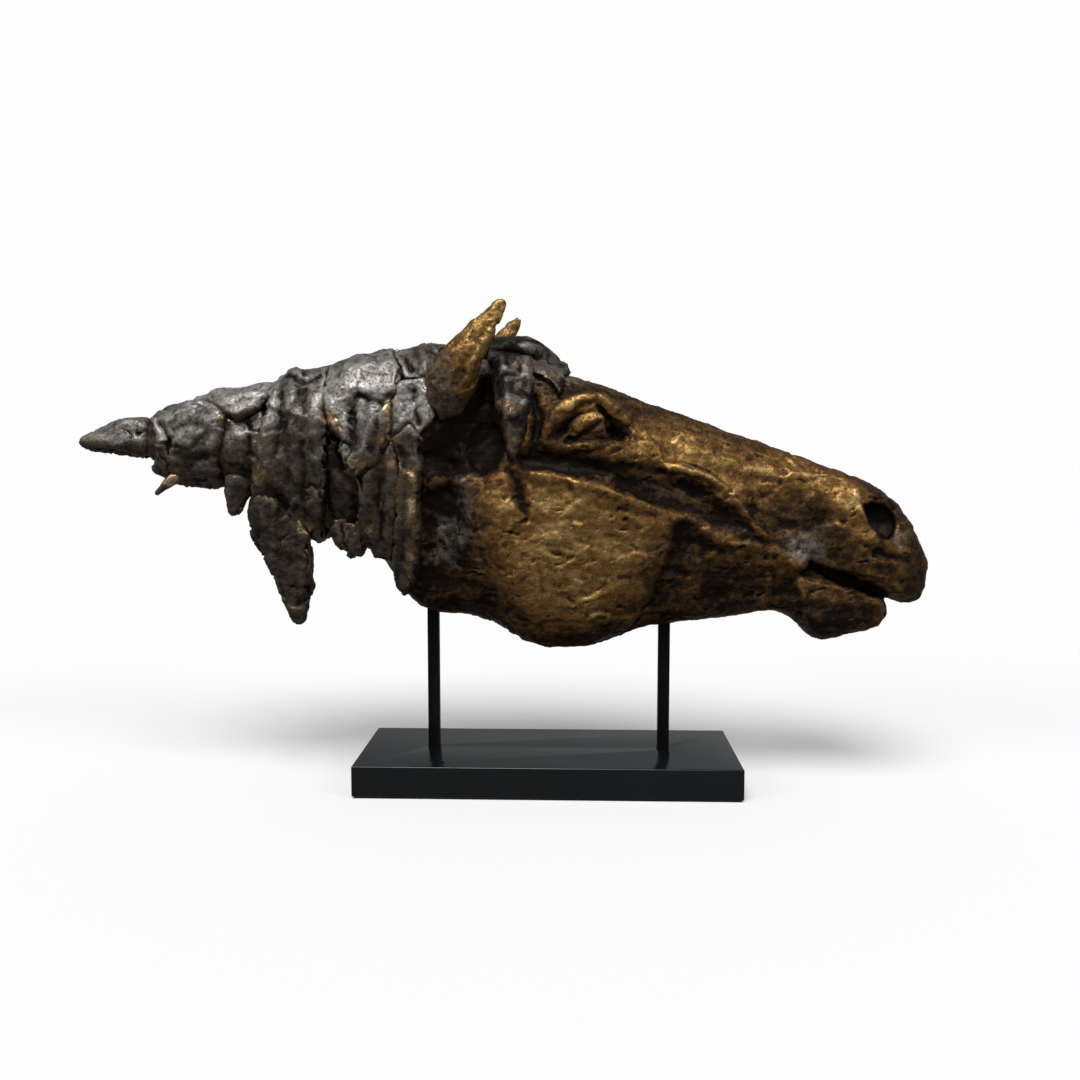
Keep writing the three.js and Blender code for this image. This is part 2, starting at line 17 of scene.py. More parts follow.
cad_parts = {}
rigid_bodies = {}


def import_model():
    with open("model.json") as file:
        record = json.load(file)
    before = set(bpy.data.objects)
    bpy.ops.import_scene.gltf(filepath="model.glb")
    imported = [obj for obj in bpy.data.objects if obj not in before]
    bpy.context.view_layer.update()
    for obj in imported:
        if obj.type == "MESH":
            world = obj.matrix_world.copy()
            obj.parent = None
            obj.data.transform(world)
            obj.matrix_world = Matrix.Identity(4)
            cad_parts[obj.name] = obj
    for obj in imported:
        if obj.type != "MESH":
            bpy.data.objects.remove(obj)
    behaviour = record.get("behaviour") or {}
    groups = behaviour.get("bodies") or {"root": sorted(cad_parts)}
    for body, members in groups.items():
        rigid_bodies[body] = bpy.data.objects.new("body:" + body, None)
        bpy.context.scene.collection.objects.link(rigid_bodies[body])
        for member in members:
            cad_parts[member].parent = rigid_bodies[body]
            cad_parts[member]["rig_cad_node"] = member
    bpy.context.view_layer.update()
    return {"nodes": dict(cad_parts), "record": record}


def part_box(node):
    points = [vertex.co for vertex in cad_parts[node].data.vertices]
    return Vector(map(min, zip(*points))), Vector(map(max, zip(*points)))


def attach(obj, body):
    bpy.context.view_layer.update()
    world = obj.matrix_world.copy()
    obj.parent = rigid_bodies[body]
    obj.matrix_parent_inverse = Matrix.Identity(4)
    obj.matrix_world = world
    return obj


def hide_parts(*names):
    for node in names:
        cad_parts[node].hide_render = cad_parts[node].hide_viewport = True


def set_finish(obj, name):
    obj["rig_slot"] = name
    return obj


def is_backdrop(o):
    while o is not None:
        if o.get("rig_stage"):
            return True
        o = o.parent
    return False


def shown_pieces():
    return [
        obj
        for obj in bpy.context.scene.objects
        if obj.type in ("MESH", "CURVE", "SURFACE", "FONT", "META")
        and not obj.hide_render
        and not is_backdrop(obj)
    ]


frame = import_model()

MM = 0.001
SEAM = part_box("head_casting")[0].x  # weld between the head and neck castings
PLINTH_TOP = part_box("plinth")[1].z
JAW = PLINTH_TOP + 113 * MM  # height that the sculpted sizes are measured from
WELD_DEPTH = 0.4 * MM  # how near the weld plane a face lies to be part of the weld
SOCKET_ROOM = 3.6 * MM  # how far past a post's side its socket's hole in the casting reaches

# ---------------------------------------------------------------- noise


def lattice(cells, seed):
    """A steady random number from 0 to 1 for each whole-numbered cell."""
    c = cells.astype(np.int64).astype(np.uint32)
    h = c[..., 0] * np.uint32(73856093)
    h = h ^ c[..., 1] * np.uint32(19349663)
    h = h ^ c[..., 2] * np.uint32(83492791)
    h = h ^ np.uint32((seed * 2654435761) & 0xFFFFFFFF)
    for _ in range(2):
        h = (h ^ (h >> np.uint32(15))) * np.uint32(2246822519)
        h = (h ^ (h >> np.uint32(13))) * np.uint32(3266489917)
    return (h ^ (h >> np.uint32(16))).astype(np.float64) / 0xFFFFFFFF


def noise(points, size, seed, octaves=3):
    """Smooth noise from about -1 to 1. size is the largest lump's width in mm, per axis or for all."""
    total = np.zeros(len(points))
    p = points / np.asarray(size, float)
    reach, weight = 0.0, 1.0
    for octave in range(octaves):
        cell = np.floor(p)
        f = p - cell
        f = f * f * (3 - 2 * f)
        value = np.zeros(len(points))
        for corner in np.ndindex(2, 2, 2):
            share = np.prod(np.where(corner, f, 1 - f), axis=1)
            value += share * lattice(cell + corner, seed + 17 * octave)
        total += weight * (2 * value - 1)
        reach += weight
        weight *= 0.55
        p = p * 2.03 + 11.3
    return total / reach


def pads(points, size, seed):
    """Pressed pads of clay: each cell has its own height and its own slant, from about -1 to 1."""
    p = points / np.asarray(size, float)
    home = np.floor(p)
    nearest = np.full(len(p), 9.0)
    height = np.zeros(len(p))
    for shift in np.ndindex(3, 3, 3):
        cell = home + shift - 1
        at = cell + np.stack([lattice(cell, seed + k) for k in range(3)], 1)
        away = p - at
        distance = (away**2).sum(1)
        closer = distance < nearest
        slant = np.stack([lattice(cell, seed + 3 + k) for k in range(3)], 1) * 2 - 1
        own = lattice(cell, seed + 6) - 0.5 + 0.9 * (slant * away).sum(1)
        height[closer] = own[closer]
        nearest = np.minimum(nearest, distance)
    return height


def ramp(value, low, high):
    t = np.clip((value - low) / (high - low), 0, 1)
    return t * t * (3 - 2 * t)


# ---------------------------------------------------------------- lines and outlines on a side


def along(points, line):
    """Each point's distance from a line in the xz plane, and which side it lies on (above is 1)."""
    best = np.full(len(points), 1e9)
    side = np.zeros(len(points))
    for a, b in zip(line[:-1], line[1:], strict=True):
        a, b = np.asarray(a, float), np.asarray(b, float)
        run = b - a
        t = np.clip(((points - a) @ run) / (run @ run), 0, 1)
        away = points - a - t[:, None] * run
        distance = np.hypot(*away.T)
        cross = run[0] * away[:, 1] - run[1] * away[:, 0]
        closer = distance < best
        best[closer] = distance[closer]
        side[closer] = np.sign(cross[closer])
    return best, side


def inside(points, outline):
    """True where a point lies in an outline."""
    x, z = points.T
    odd = np.zeros(len(points), bool)
    for (ax, az), (bx, bz) in zip(outline, outline[1:] + outline[:1], strict=True):
        if az != bz:
            odd ^= ((az > z) != (bz > z)) & (x < (bx - ax) * (z - az) / (bz - az) + ax)
    return odd


def ridge(points, line, height, width):
    distance, _ = along(points, line)
    return height * np.exp(-((distance / width) ** 2))


def step(points, line, height, width, fade):
    """A lip: raised on the upper side of a line that runs towards +x, and fading away from it."""
    distance, side = along(points, line)
    signed = distance * side
    return height * ramp(signed, -width, width) * np.exp(-((np.maximum(signed, 0) / fade) ** 2)) * (
        distance < 4 * fade
    )


def field(points, outline, height, edge):
    """A raised or sunken field with a soft edge."""
    distance, _ = along(points, outline + outline[:1])
    signed = np.where(inside(points, outline), distance, -distance)
    return height * ramp(signed, -edge, edge)


# ---------------------------------------------------------------- clay


def outer_shell(bm):
    """Keeps a casting's outside: its weld face and post holes go, and then the hollow comes away."""
    posts = [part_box(f"post_{end}") for end in ("front", "rear")]
    bored = []
    for low, high in posts:
        middle = (low + high) / 2
        half = (high.x - low.x) / 2 + SOCKET_ROOM
        bored.append((middle.x, middle.y, half))

    def goes(face):
        if all(abs(v.co.x - SEAM) < WELD_DEPTH for v in face.verts):
            return True
        return any(
            all(abs(v.co.x - x) < r and abs(v.co.y - y) < r for v in face.verts) for x, y, r in bored
        )

    bmesh.ops.delete(bm, geom=[f for f in bm.faces if goes(f)], context="FACES")
    todo = set(bm.verts)
    shells = []
    while todo:
        stack = [todo.pop()]
        shell = set(stack)
        while stack:
            for e in stack.pop().link_edges:
                for v in e.verts:
                    if v in todo:
                        todo.discard(v)
                        shell.add(v)
                        stack.append(v)
        shells.append(shell)
    keep = max(shells, key=lambda s: sum(abs(v.co.y) + abs(v.co.z - JAW) for v in s))
    bmesh.ops.delete(bm, geom=[v for v in bm.verts if v not in keep], context="VERTS")
    bmesh.ops.holes_fill(bm, edges=[e for e in bm.edges if e.is_boundary], sides=0)
    bmesh.ops.triangulate(bm, faces=bm.faces[:])


class Clay:
    """A CAD node's solid as an even skin that can be pushed in and out along its normals."""

    def __init__(self, name, node, grain, soften, body="head"):
        bm = bmesh.new()
        bm.from_mesh(frame["nodes"][node].data)
        bmesh.ops.remove_doubles(bm, verts=bm.verts, dist=1e-6)
        if node.endswith("_casting"):
            outer_shell(bm)
        bmesh.ops.recalc_face_normals(bm, faces=bm.faces)
        mesh = bpy.data.meshes.new(name)
        bm.to_mesh(mesh)
        bm.free()
        self.object = bpy.data.objects.new(name, mesh)
        bpy.context.scene.collection.objects.link(self.object)
        remesh = self.object.modifiers.new("grain", "REMESH")
        remesh.mode = "VOXEL"
        remesh.voxel_size = grain * MM
        graph = bpy.context.evaluated_depsgraph_get()
        even = bpy.data.meshes.new_from_object(self.object.evaluated_get(graph))
        self.object.modifiers.clear()
        self.object.data = even
        even.name = name
        for polygon in even.polygons:
            polygon.use_smooth = True
        self.mesh = even
        self.count = len(even.vertices)
        flat = np.empty(self.count * 3)
        even.vertices.foreach_get("co", flat)
        self.co = flat.reshape(-1, 3)
        ends = np.empty(len(even.edges) * 2, np.int64)
        even.edges.foreach_get("vertices", ends)
        self.ends = ends.reshape(-1, 2)
        self.valence = np.bincount(ends, minlength=self.count)
        self.co = self.blurred(self.co, soften)
        self.refresh()
        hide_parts(node)
        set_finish(self.object, slot_of(node))
        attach(self.object, body)

    def blurred(self, values, times, amount=0.6):
        """Values averaged with their neighbours' along the skin."""
        values = np.array(values, float)
        a, b = self.ends.T
        columns = values.reshape(self.count, -1)
        for _ in range(times):
            for k in range(columns.shape[1]):
                c = columns[:, k]
                total = np.bincount(a, c[b], self.count) + np.bincount(b, c[a], self.count)
                columns[:, k] = (1 - amount) * c + amount * total / np.maximum(self.valence, 1)
        return columns.reshape(values.shape)

    def refresh(self):
        self.mesh.vertices.foreach_set("co", self.co.ravel())
        self.mesh.update()
        flat = np.empty(self.count * 3, np.float32)
        self.mesh.vertex_normals.foreach_get("vector", flat)
        self.normal = flat.reshape(-1, 3).astype(float)
        self.at = (self.co - (0, 0, JAW)) / MM
        self.side = self.at[:, [0, 2]]

    def push(self, amount):
        """Moves the skin outwards by so many mm."""
        self.co = self.co + self.normal * np.asarray(amount)[:, None] * MM
        self.refresh()

    def facing(self, low=0.15, high=0.5):
        """How much each point faces sideways."""
        return ramp(np.abs(self.normal[:, 1]), low, high)

    def proud(self, reach):
        """How far each point stands above its surroundings, in mm. reach is a number of blurs."""
        return ((self.co - self.blurred(self.co, reach)) * self.normal).sum(1) / MM

    def store(self, name, values):
        attribute = self.mesh.attributes.new(name, "FLOAT", "POINT")
        attribute.data.foreach_set("value", np.asarray(values, np.float32))


def slot_of(node):
    return next(s["material_slot"] for s in frame["record"]["subparts"] if s["node"] == node)


# ---------------------------------------------------------------- the face's relief

# Raised (positive) and sunken fields: outline, height in mm, softness of the edge.
FACE_FIELDS = [
    # the deep hollow behind and under the ear
    ([(-60, 282), (-50, 262), (-52, 236), (-46, 212), (-60, 194), (-82, 185), (-116, 186), (-124, 202),
      (-110, 215), (-96, 230), (-84, 250), (-70, 270)], -13, 12),
    # the hollow under the eye
    ([(-36, 206), (-10, 210), (20, 205), (42, 204), (54, 196), (62, 188), (58, 181), (30, 184),
      (0, 191), (-25, 193)], -9, 8),
    # the brow's soft outer lobe
    ([(-12, 210), (-4, 240), (10, 258), (24, 262), (28, 250), (18, 238), (10, 216)], 2.5, 9),
    # the upper lid, a leaf folded over the eyeball
    ([(15, 219), (24, 236), (34, 249), (50, 250), (59, 239), (45, 235), (34, 226)], 3.5, 2.5),
    # the lower lid's bulge
    ([(28, 217), (34, 211), (50, 214), (62, 221), (60, 236), (46, 233), (35, 224)], 1.5, 3),
    # the eye's front corner
    ([(59, 240), (66, 238), (84, 225), (78, 219), (66, 220), (60, 228)], -8, 3.5),
    # the trough between the facial crest and the cheek plate
    ([(66, 184), (100, 184), (140, 179), (165, 166), (184, 148), (196, 130), (172, 128), (142, 144),
      (100, 160), (75, 170)], -5, 8),
    # the gully down the cheek plate's front edge
    ([(128, 136), (144, 136), (150, 118), (148, 92), (142, 66), (122, 56), (126, 88), (128, 114)], -6, 13),
    # the gully across its back corner
    ([(-40, 190), (-26, 190), (-20, 166), (-17, 142), (-24, 138), (-33, 164)], -5.5, 5),
    # the lump behind that
    ([(-72, 176), (-44, 184), (-36, 160), (-32, 130), (-46, 100), (-62, 116), (-70, 150)], 2.5, 9),
    # the flank of the jaw in front of the cheek plate
    ([(146, 68), (156, 108), (200, 96), (240, 86), (252, 62), (238, 50), (170, 46)], -4.5, 12),
    # the throat behind the cheek plate
    ([(-86, 168), (-90, 120), (-80, 70), (-98, 58), (-128, 80), (-128, 150), (-112, 172)], -5, 11),
    # the side of the nose, under its golden edge
    ([(205, 164), (245, 164), (286, 158), (298, 140), (280, 126), (235, 124), (205, 138)], -3.5, 9),
    # the nostril
    ([(321, 152), (331, 155), (343, 153), (352, 143), (354, 130), (348, 121), (340, 119), (333, 126),
      (326, 140)], -8, 2.2),
    # the slit of the mouth
    ([(278, 88), (290, 88), (302, 82), (330, 71), (352, 60), (352, 54), (338, 58), (318, 66),
      (300, 74), (284, 82)], -6, 2),
]

# Ridges (positive) and grooves: line, height in mm, width.
FACE_RIDGES = [
    # folds of the brow
    ([(8, 246), (18, 256), (34, 262), (48, 261)], 2, 6),
    ([(52, 260), (60, 253), (66, 244), (72, 237)], 4, 5),
    ([(44, 262), (51, 256), (56, 248)], -3, 2.4),
    ([(28, 248), (38, 255), (47, 256), (54, 249), (60, 242)], -4, 2.2),
    ([(-13, 262), (-9, 236), (-14, 212)], -6, 5),
    ([(-22, 262), (-18, 236), (-22, 208)], 2.5, 5),
    # creases of the lids and the bag under them
    ([(18, 216), (30, 222), (42, 230), (52, 236)], -3, 1.8),
    ([(30, 207), (42, 206), (54, 210), (66, 216), (76, 219)], -3, 2),
    ([(34, 202), (48, 201), (62, 206), (76, 212)], 3, 4),
    ([(64, 200), (82, 206), (98, 202)], 3, 6),
    # the crack under the facial crest
    ([(114, 189), (126, 187), (141, 183)], -3.5, 1.6),
    ([(148, 181), (160, 177), (170, 170), (181, 162)], -4, 1.8),
    ([(186, 152), (196, 138), (208, 128)], -2.5, 3),
    # the cheek plate's top edge
    ([(-14, 185), (10, 181), (30, 176), (50, 169), (75, 161), (100, 153), (126, 146), (134, 141)], 3.2, 5),
    # its back and lower rim, eased into the throat and the jaw
    ([(-64, 178), (-66, 140), (-55, 98), (-41, 52), (-24, 26)], -3.2, 8),
    ([(-78, 176), (-80, 136), (-68, 90), (-54, 46)], 2, 8),
    ([(96, 34), (112, 60), (122, 92)], -2.5, 8),
    # the lower crest that runs into the corner of the mouth
    ([(144, 140), (154, 136), (168, 124), (192, 113), (217, 110), (236, 104), (258, 92)], 5, 5.5),
    ([(156, 118), (175, 106), (205, 99)], -2.5, 6),
    ([(190, 126), (215, 124), (240, 118)], 2, 5),
    # the nose's golden edge
    ([(150, 212), (180, 199), (205, 190), (250, 186), (290, 180), (312, 171)], 3, 9),
    # the nostril's rims
    ([(313, 164), (316, 150), (324, 136), (334, 122), (348, 112), (366, 106)], 4, 5),
    ([(322, 163), (343, 161), (358, 150), (364, 134)], 3.4, 4),
    ([(318, 116), (334, 106), (350, 100), (370, 95)], -3, 4),
    # lumps at the corner of the mouth
    ([(250, 112), (262, 118)], 3, 6),
    ([(262, 104), (272, 110)], 3.5, 6),
    ([(278, 96), (284, 104)], 3.2, 5),
    ([(252, 98), (262, 92)], 2.6, 5),
    ([(358, 118), (364, 119)], 2.4, 5),
    # lips and chin
    ([(286, 93), (312, 89), (336, 83), (351, 76), (364, 66)], 3.4, 4.5),
    ([(262, 76), (280, 71), (300, 66), (320, 60), (342, 50)], 3.2, 4.5),
    ([(250, 88), (256, 78), (262, 66), (264, 58)], 3, 5),
    ([(268, 50), (288, 44), (312, 42)], -3, 8),
    ([(150, 44), (190, 48), (240, 50)], 3, 7),
    # folds of the throat
    ([(-96, 184), (-108, 176), (-122, 172)], 3.2, 4),
    ([(-78, 184), (-86, 178)], 4, 5),
    ([(-118, 200), (-112, 184), (-114, 172)], 4, 6),
    ([(-100, 198), (-98, 184), (-102, 166)], -4, 4.5),
    ([(-90, 202), (-82, 190)], 4.5, 6),
    ([(-70, 196), (-64, 182), (-68, 168)], -3.5, 4),
    ([(-92, 112), (-84, 100)], 3.4, 7),
    ([(-74, 58), (-100, 60), (-124, 54)], 3, 8),
    # cracks and gouges of the cheek plate
    ([(-2, 115), (12, 113), (24, 110)], -3, 1.8),
    ([(2, 108), (16, 104)], -2, 4),
    ([(-58, 96), (-48, 89), (-40, 86)], -2, 2),
    ([(-46, 123), (-34, 118)], -1.8, 1.8),
    ([(52, 80), (72, 81), (92, 80)], -1.6, 2),
    ([(-7, 92), (-5, 74), (-4, 66)], -2, 2.4),
    ([(30, 119), (40, 116)], -1.6, 2),
    ([(70, 150), (110, 142)], -1.4, 3),
    ([(20, 176), (26, 172)], -2.4, 2),
    ([(58, 162), (70, 158)], -2.4, 2),
]

# Lips, raised on the left of a line: line, height in mm, half width of the lip, reach of its fade.
FACE_STEPS = [
    # the facial crest
    ([(88, 194), (105, 191), (122, 187), (140, 184), (152, 181), (166, 175), (180, 163), (192, 150),
      (203, 136)], 5.5, 2.2, 26),
]

# The same for the neck, and for each plate and lock of the mane and the forelock.
MANE_FIELDS = {
    "neck": [([(-222, 240), (-212, 226), (-204, 212), (-197, 188), (-190, 165), (-192, 125), (-215, 112),
               (-223, 130), (-224, 180), (-224, 212)], -9, 6)],
    "gusset": [([(-224, 236), (-214, 226), (-206, 212), (-199, 188), (-192, 165), (-196, 135), (-215, 122),
                 (-224, 140), (-226, 180)], -8, 6)],
    "middle": [([(-222, 300), (-190, 310), (-175, 292), (-184, 264), (-212, 258), (-222, 275)], 3.5, 14),
               ([(-200, 214), (-198, 194), (-182, 192), (-174, 204), (-184, 214)], 3, 5)],
    "broad": [([(-284, 172), (-270, 168), (-262, 150), (-278, 150), (-296, 164)], -4, 8)],
    "notch": [([(-336, 244), (-318, 240), (-300, 246), (-294, 236), (-312, 226), (-334, 228)], -4, 5)],
    "tail": [([(-472, 209), (-445, 205), (-430, 201), (-404, 206), (-400, 190), (-425, 192), (-450, 196),
               (-476, 204)], -5, 3)],
}
MANE_RIDGES = {
    "rear": [([(-394, 240), (-376, 247), (-355, 244), (-342, 232)], 2, 5),
             ([(-386, 229), (-368, 235), (-352, 231)], -2, 4),
             ([(-402, 186), (-380, 180), (-360, 184), (-345, 190)], 2.5, 8),
             ([(-394, 205), (-372, 199), (-350, 202)], -2, 5),
             ([(-404, 236), (-396, 226), (-392, 212)], -5, 4)],
    "notch": [([(-320, 225), (-322, 200), (-326, 170), (-325, 150)], 3, 8),
              ([(-306, 222), (-304, 200), (-308, 180)], -3, 4)],
    "flap": [([(-350, 268), (-325, 262), (-305, 268), (-292, 280)], 2.5, 7)],
    "broad": [([(-262, 288), (-258, 264), (-252, 240), (-250, 212)], 3.5, 10),
              ([(-271, 262), (-268, 238), (-275, 206)], -3.5, 4.5),
              ([(-240, 272), (-236, 250), (-235, 222)], 3, 7),
              ([(-247, 214), (-246, 190), (-250, 160)], -3, 5),
              ([(-262, 142), (-252, 134), (-244, 130)], 5, 7),
              ([(-280, 192), (-272, 172), (-260, 156)], 3, 6)],
    "middle": [([(-190, 264), (-178, 258), (-165, 254), (-158, 262)], -4, 2.2),
               ([(-176, 250), (-178, 230), (-184, 208)], 3, 6),
               ([(-198, 252), (-193, 232), (-194, 212)], -3.5, 5),
               ([(-216, 252), (-210, 236), (-203, 220)], 3, 4)],
    "lower": [([(-167, 215), (-165, 182), (-169, 150), (-171, 118)], -4.5, 4.5),
              ([(-181, 182), (-183, 150), (-177, 118)], 3.5, 6),
              ([(-156, 190), (-158, 150), (-162, 118)], 2.5, 5)],
    "strip": [([(-145, 205), (-142, 170), (-144, 130), (-147, 95)], -2.5, 4)],
    "knot": [([(-148, 272), (-147, 250), (-150, 232)], 4, 5),
             ([(-134, 268), (-132, 248), (-128, 236)], -4, 4)],
    "crest": [([(-162, 312), (-148, 306), (-138, 290)], -4, 3),
              ([(-130, 318), (-126, 302), (-124, 288)], 3, 5)],
    "hanging": [([(-302, 130), (-282, 122), (-258, 126)], -1.2, 2),
                ([(-298, 123), (-280, 115), (-256, 119)], -1.2, 2),
                ([(-292, 115), (-276, 108), (-254, 113)], -1, 2),
                ([(-250, 120), (-250, 92), (-254, 62)], 3, 6),
                ([(-266, 100), (-262, 76), (-258, 52)], -2, 5)],
    "tail": [([(-462, 222), (-440, 226), (-412, 228)], -2, 6),
             ([(-452, 234), (-430, 238), (-404, 238)], 2, 4)],
    "forelock": [([(-48, 300), (-40, 275), (-38, 250), (-37, 225), (-34, 205)], 3, 5),
                 ([(-27, 290), (-25, 260), (-30, 235)], -1.5, 4)],
}
MANE_STEPS = {
    "rear": [([(-345, 174), (-341, 200), (-335, 226), (-331, 240), (-337, 254)], 4.2, 2, 32)],
    "flap": [([(-374, 260), (-346, 257), (-331, 247), (-318, 241), (-303, 248), (-290, 263), (-282, 278)],
              5.1, 2, 32)],
    "broad": [([(-279, 280), (-283, 250), (-291, 225), (-293, 198), (-301, 170)], 4.2, 2, 26),
              ([(-268, 246), (-250, 240), (-228, 234)], 2.5, 3, 32),
              ([(-231, 144), (-228, 180), (-229, 219), (-225, 262)], 3.4, 2, 22)],
    "middle": [([(-186, 187), (-171, 199), (-157, 226), (-157, 244), (-154, 262), (-151, 282)], 4.7, 2, 28),
               ([(-224, 250), (-218, 230), (-206, 218), (-208, 206), (-199, 190)], 3.4, 2, 20)],
    "strip": [([(-142, 68), (-134, 97), (-130, 128), (-129, 179), (-128, 219)], 3.4, 2, 20)],
    "tail": [([(-478, 213), (-450, 208), (-430, 204), (-402, 210)], 3.4, 1.5, 44)],
}


def sculpt(points, fields, ridges, steps):
    """Adds up one piece's strokes at points on its side."""
    amount = np.zeros(len(points))
    for outline, height, edge in fields:
        amount += field(points, outline, height, edge)
    for line, height, width in ridges:
        amount += ridge(points, line, height, width)
    for line, height, width, fade in steps:
        amount += step(points, line, height, width, fade)
    return amount


def wandered(clay):
    """Side points for strokes. The left side was laid by hand too, so it wanders from the right."""
    x, z = clay.side.T
    left = clay.at[:, 1] > 0
    return clay.side - np.stack([5 * left * np.sin(z / 23), 4 * left * np.sin(x / 31)], 1)


# ---------------------------------------------------------------- patina, painted sheen and painted shade

# Where the face's patina, painted sheen and painted shade are marked, on both sides. Each mark is an outline,
# its strength and the softness of its edge. First, where it is rubbed to gold.
GOLDEN = [
    ([(-66, 172), (-20, 182), (40, 171), (100, 150), (126, 138), (106, 100), (88, 62), (50, 38), (0, 30),
      (-32, 50), (-54, 92)], 0.85, 25),
    ([(-14, 184), (30, 176), (75, 161), (124, 144), (100, 142), (50, 156), (0, 168)], 0.25, 8),
    ([(84, 222), (110, 238), (200, 214), (262, 196), (316, 176), (320, 150), (290, 160), (205, 172),
      (188, 156), (176, 166), (140, 186), (92, 200)], 0.85, 18),
    ([(8, 240), (20, 258), (36, 266), (66, 258), (78, 238), (60, 244), (36, 250), (20, 240)], 0.65, 8),
    ([(20, 224), (30, 240), (46, 250), (56, 244), (44, 234), (30, 222)], 0.6, 4),
    ([(286, 168), (320, 162), (316, 136), (296, 140)], 0.4, 10),
    ([(314, 150), (334, 120), (368, 108), (358, 98), (326, 106), (308, 128)], 0.5, 8),
    ([(286, 92), (330, 88), (352, 76), (362, 66), (340, 70), (300, 82)], 0.45, 7),
    ([(150, 136), (196, 116), (236, 108), (262, 92), (244, 84), (200, 100)], 0.5, 9),
    ([(262, 78), (300, 68), (340, 52), (300, 56), (262, 62)], 0.3, 7),
    ([(-8, 206), (60, 200), (96, 198), (90, 214), (60, 206), (20, 210)], 0.35, 8),
]
# Painted sheen: where a pale reflection of the overhead light is painted on it.
PAINTED_SHEEN_MARKS = [
    ([(244, 122), (278, 122), (290, 96), (262, 90), (242, 104)], 0.8, 8),
    ([(352, 124), (368, 128), (366, 112), (352, 112)], 0.6, 6),
    ([(22, 240), (36, 248), (50, 250), (40, 236), (24, 222)], 0.3, 4),
    ([(-14, 192), (22, 188), (36, 180), (10, 182)], 0.4, 6),
    ([(-124, 180), (-84, 188), (-70, 196), (-78, 174), (-118, 166)], 0.4, 8),
    ([(-130, 172), (-92, 176), (-78, 160), (-80, 110), (-92, 84), (-124, 88)], 0.6, 22),
    ([(84, 184), (130, 180), (160, 168), (180, 150), (140, 150), (100, 164)], 0.25, 8),
]
# Painted shade: where shade falls on the face, in the hollow behind the ear, under the eye, the trough, the
# gullies, the jaw, the chin and the throat, painted towards black.
PAINTED_SHADE = [
    ([(-56, 292), (-48, 262), (-48, 235), (-42, 208), (-58, 190), (-82, 184), (-120, 188), (-130, 204),
      (-116, 220), (-100, 240), (-86, 262), (-72, 282)], 1.0, 8),
    ([(-36, 206), (-10, 210), (20, 206), (44, 206), (64, 196), (90, 192), (70, 180), (30, 184), (0, 191)],
     0.6, 7),
    ([(78, 180), (140, 178), (165, 166), (190, 146), (206, 126), (172, 128), (142, 144), (100, 160)], 0.1, 8),
    ([(262, 52), (340, 46), (352, 30), (290, 10), (262, 20)], 0.3, 10),
    ([(150, 70), (180, 100), (240, 84), (252, 60), (236, 48), (160, 44)], 0.3, 14),
    ([(128, 132), (146, 134), (146, 90), (140, 60), (122, 58), (128, 96)], 0.4, 14),
    ([(-150, 200), (-84, 186), (-78, 150), (-72, 100), (-60, 50), (-150, 30)], 0.3, 12),
    ([(-40, 190), (-26, 188), (-18, 150), (-26, 142), (-34, 160)], 0.45, 5),
]
# Painted shadow, black through and through: inside the slit of the mouth, and the nostril.
PAINTED_BLACK_SHADOW = [
    ([(274, 91), (300, 87), (352, 62), (352, 52), (300, 70), (280, 80)], 0.8, 4),
    ([(321, 154), (343, 155), (356, 140), (352, 122), (338, 116), (326, 136)], 1.2, 3),
]
# Where the torn edges of the mane and the forelock are rubbed through.
RUBBED = [
    ([(-334, 244), (-326, 244), (-326, 226), (-336, 222)], 0.8, 5),
    ([(-286, 262), (-276, 250), (-278, 225), (-290, 196), (-304, 168), (-292, 160), (-282, 180),
      (-272, 220)], 0.6, 6),
    ([(-270, 148), (-244, 140), (-240, 122), (-258, 126)], 0.8, 6),
    ([(-224, 250), (-212, 244), (-200, 226), (-212, 224), (-224, 238)], 0.9, 5),
    ([(-166, 262), (-152, 262), (-154, 228), (-176, 196), (-200, 186), (-200, 196), (-178, 206),
      (-162, 230)], 0.8, 6),
    ([(-194, 190), (-180, 182), (-186, 166), (-194, 170)], 0.6, 6),
    ([(-150, 222), (-132, 222), (-129, 120), (-138, 70), (-150, 70), (-142, 120), (-144, 180)], 0.65, 6),
    ([(-190, 158), (-170, 158), (-164, 128), (-184, 128)], 0.55, 8),
    ([(-402, 186), (-384, 176), (-368, 176), (-372, 190)], 0.5, 6),
    ([(-412, 168), (-398, 180), (-384, 182), (-392, 170)], 0.7, 4),
    ([(-268, 56), (-246, 56), (-250, 28), (-264, 28)], 0.35, 10),
    ([(-44, 262), (-18, 262), (-18, 236), (-30, 204), (-44, 214)], 0.45, 6),
    ([(-12, 298), (8, 292), (14, 274), (4, 272), (-8, 286)], 0.5, 6),
]


def marks(clay, regions):
    points = wandered(clay)
    return sum(field(points, outline, strength, edge) for outline, strength, edge in regions)


def patina_and_painted_light(clay, gold=0.0, grey=0.0, shade=0.0, rub=1.0):
    """Stores what the bronze material reads: gold, a painted sheen, and how deep or proud each point is, with
    shade added to the depth.
    """
    fine = clay.proud(3)
    middle = clay.proud(18)
    broad = clay.proud(70)
    edges = ramp(fine, 0.05, 0.4) * 0.4 + ramp(middle, 0.2, 1.8) * 0.7
    # dark patina in the hollows, plus what comes in as shade: painted shade on the face, darker patches of
    # patina on the forelock
    hollow = ramp(-broad, 0.4, 4.0) * 0.6 + ramp(-middle, 0.15, 1.3) * 0.55 + shade
    clay.store("edges", np.clip(edges * rub, 0, 1))
    clay.store("hollow", np.clip(hollow, 0, 1))
    clay.store("gold", np.clip(np.broadcast_to(gold, clay.count), 0, 1))
    clay.store("grey", np.clip(np.broadcast_to(grey, clay.count), 0, 1))


# ---------------------------------------------------------------- sculpted pieces

